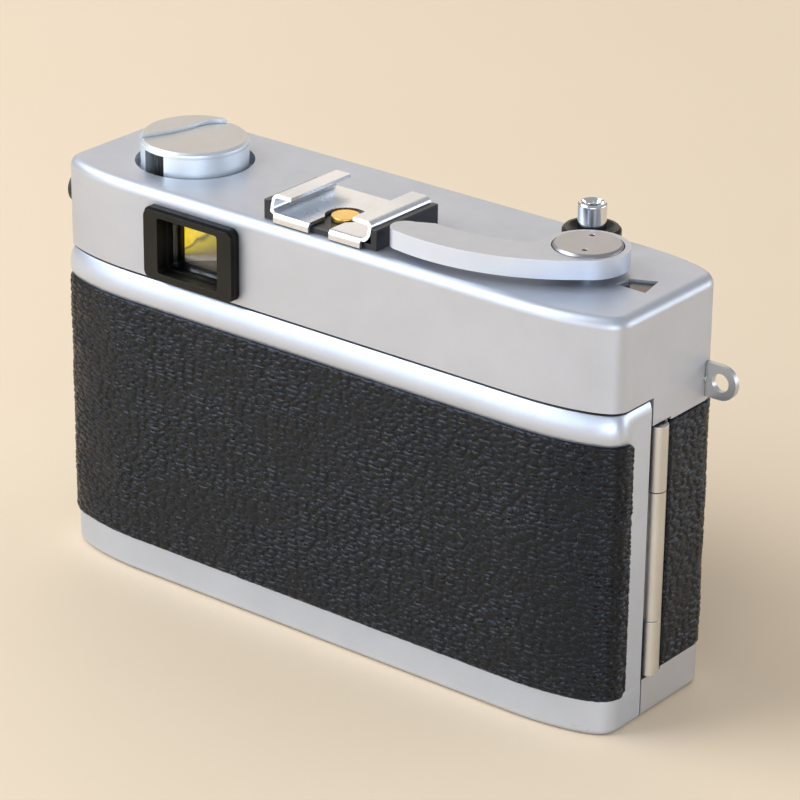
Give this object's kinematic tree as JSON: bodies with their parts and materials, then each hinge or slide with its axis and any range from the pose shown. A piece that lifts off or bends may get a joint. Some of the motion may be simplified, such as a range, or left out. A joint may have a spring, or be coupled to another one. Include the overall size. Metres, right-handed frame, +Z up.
{
  "type": "rangefinder camera",
  "caption": "Compact fixed-lens rangefinder camera with hinged back door, folding rewind crank, curved advance lever, accessory shoe, rear eyepiece and a focusing lens.",
  "frame": {"origin": "mouth of the tripod socket, at the centre of the base", "axes": "+X towards the rewind end of the body (its longest side), -Y towards the lens, +Z up"},
  "size_m": [0.1232, 0.0538, 0.0761],
  "materials": {
    "satin_chrome": "satin chrome plate",
    "satin_base": "satin chrome plate, warm",
    "satin_door": "satin chrome plate",
    "casting_black": "flat black paint on die-cast aluminium",
    "leather_black": "grained leatherette",
    "nickel": "warm nickel",
    "steel": "brushed",
    "bright_chrome": "polished",
    "black_metal": "satin black anodised",
    "black_plastic": "moulded",
    "foam": "foam strip",
    "gilt": "gilt",
    "brass": "machined",
    "clear_glass": "polished",
    "amber_glass": "partly mirrored",
    "frosted_glass": "frosted",
    "coated_glass": "coated",
    "mirror": "silvered",
    "dial_white": "dial enamel",
    "lens_alloy": "satin anodised",
    "spool_black": "moulded"
  },
  "bodies": {
    "body": {"body_casting": "casting_black", "top_cover": "satin_chrome", "base_cover": "satin_base", "front_leather": "leather_black", "hinge_body_leaf": "nickel", "hinge_pin": "nickel", "light_seals": "foam", "tripod_bush": "nickel", "base_screws": "steel", "battery_cover": "satin_base", "strap_eyelets": "bright_chrome", "sync_socket": "black_metal", "shoe_base": "black_plastic", "shoe_rails": "steel", "shoe_contact": "gilt", "eyepiece_frame": "black_plastic", "eyepiece_glass": "clear_glass", "finder_tube": "black_plastic", "beam_splitter": "amber_glass", "finder_bezel": "black_plastic", "finder_window": "clear_glass", "frame_line_window": "frosted_glass", "rangefinder_window": "clear_glass", "lever_spring": "steel", "counter_window": "clear_glass", "shutter_collar": "black_metal", "button_spring": "steel", "lens_mount_ring": "lens_alloy", "lens_barrel": "black_metal", "shutter_plate": "black_metal", "rear_element": "coated_glass"},
    "door": {"back_door": "satin_door", "door_leather": "leather_black", "hinge_door_leaf": "nickel", "door_catch": "steel", "pressure_spring": "steel"},
    "pressure_plate": {"pressure_plate": "black_metal"},
    "lever": {"advance_lever": "satin_chrome", "lever_cap": "satin_chrome", "lever_shaft": "steel"},
    "idler": {"idler_gear": "brass"},
    "sprocket": {"sprocket_shaft": "steel"},
    "spool": {"take_up_spool": "spool_black"},
    "counter": {"counter_dial": "dial_white"},
    "shutter_button": {"shutter_button": "bright_chrome"},
    "lift_bar": {"lift_bar": "steel"},
    "rewind": {"rewind_shaft": "steel", "rewind_knob": "satin_chrome"},
    "crank": {"rewind_crank": "satin_chrome"},
    "grip": {"crank_grip": "black_plastic"},
    "aperture_ring": {"aperture_ring": "lens_alloy"},
    "focus_ring": {"focus_ring": "black_metal"},
    "lens_cell": {"lens_cell": "black_metal", "front_element": "coated_glass", "meter_window": "frosted_glass"},
    "rangefinder_mirror": {"rangefinder_mirror": "mirror"},
    "blade_right": {"shutter_blade_right": "black_metal"},
    "blade_left": {"shutter_blade_left": "black_metal"},
    "self_timer": {"self_timer_lever": "satin_chrome"},
    "rewind_release": {"rewind_release": "steel"}
  },
  "joints": [
    {"name": "door_hinge", "type": "hinge", "parent": "body", "child": "door", "pos_m": [-0.0556, 0.0016, 0.028], "axis": [0, 0, 1], "range_deg": [0, 110]},
    {"name": "pressure_plate_press", "type": "slide", "parent": "door", "child": "pressure_plate", "axis": [0, 1, 0], "range_m": [0, 0.0006]},
    {"name": "advance", "type": "hinge", "parent": "body", "child": "lever", "pos_m": [-0.0403, -0.0001, 0.07], "axis": [0, 0, 1], "range_deg": [0, 130]},
    {"name": "idler_turn", "type": "hinge", "parent": "body", "child": "idler", "pos_m": [-0.02752, -0.00275, 0.056], "axis": [0, 0, 1], "range_deg": [-293, 1]},
    {"name": "sprocket_turn", "type": "hinge", "parent": "body", "child": "sprocket", "pos_m": [-0.0245, 0.0039, 0.03], "axis": [0, 0, 1], "range_deg": [-1, 361]},
    {"name": "spool_turn", "type": "hinge", "parent": "body", "child": "spool", "pos_m": [-0.0403, -0.0001, 0.03], "axis": [0, 0, 1], "range_deg": [-1, 276]},
    {"name": "counter_turn", "type": "hinge", "parent": "lever", "child": "counter", "pos_m": [-0.0403, -0.0001, 0.0668], "axis": [0, 0, 1], "range_deg": [-122, 1]},
    {"name": "shutter_press", "type": "slide", "parent": "body", "child": "shutter_button", "axis": [0, 0, -1], "range_m": [0, 0.0018], "deforming": ["button_spring"]},
    {"name": "rewind_lift", "type": "slide", "parent": "body", "child": "lift_bar", "axis": [0, 0, 1], "range_m": [0, 0.0065]},
    {"name": "rewind_turn", "type": "hinge", "parent": "lift_bar", "child": "rewind", "pos_m": [0.0382, 0.0007, 0.07], "axis": [0, 0, 1], "continuous": true},
    {"name": "crank_fold", "type": "hinge", "parent": "rewind", "child": "crank", "pos_m": [0.03692, -0.0074, 0.0731], "axis": [0.9877, -0.1564, 0], "range_deg": [0, 180]},
    {"name": "grip_turn", "type": "hinge", "parent": "crank", "child": "grip", "pos_m": [0.03916, 0.00743, 0.07], "axis": [0, 0, 1], "continuous": true},
    {"name": "aperture_turn", "type": "hinge", "parent": "body", "child": "aperture_ring", "pos_m": [0, -0.02, 0.028], "axis": [0, -1, 0], "range_deg": [-30, 30]},
    {"name": "focus_turn", "type": "hinge", "parent": "body", "child": "focus_ring", "pos_m": [0, -0.025, 0.028], "axis": [0, -1, 0], "range_deg": [0, 50]},
    {"name": "cell_advance", "type": "slide", "parent": "body", "child": "lens_cell", "axis": [0, -1, 0], "range_m": [-0.00001, 0.00125]},
    {"name": "mirror_swing", "type": "hinge", "parent": "body", "child": "rangefinder_mirror", "pos_m": [-0.0073, 0.0069, 0.0615], "axis": [0, 0, 1], "range_deg": [-0.05, 2.1]},
    {"name": "blade_right_swing", "type": "hinge", "parent": "body", "child": "blade_right", "pos_m": [0, -0.011, 0.014], "axis": [0, 1, 0], "range_deg": [0, 40]},
    {"name": "blade_left_swing", "type": "hinge", "parent": "body", "child": "blade_left", "pos_m": [0, -0.011, 0.014], "axis": [0, 1, 0], "range_deg": [-41, 1]},
    {"name": "self_timer_wind", "type": "hinge", "parent": "body", "child": "self_timer", "pos_m": [-0.036, -0.017, 0.036], "axis": [0, 1, 0], "range_deg": [0, 90]},
    {"name": "release_press", "type": "slide", "parent": "body", "child": "rewind_release", "axis": [0, 0, 1], "range_m": [0, 0.0009]}
  ],
  "couplings": [
    {"joint": "idler_turn", "follows": "advance", "ratio": -2.25},
    {"joint": "sprocket_turn", "follows": "advance", "ratio": 2.7692},
    {"joint": "spool_turn", "follows": "advance", "ratio": 2.1},
    {"joint": "counter_turn", "follows": "advance", "ratio": -0.927},
    {"joint": "cell_advance", "follows": "focus_turn", "m_per_rad": 0.0013751},
    {"joint": "mirror_swing", "follows": "focus_turn", "ratio": 0.04},
    {"joint": "blade_left_swing", "follows": "blade_right_swing", "ratio": -1}
  ]
}
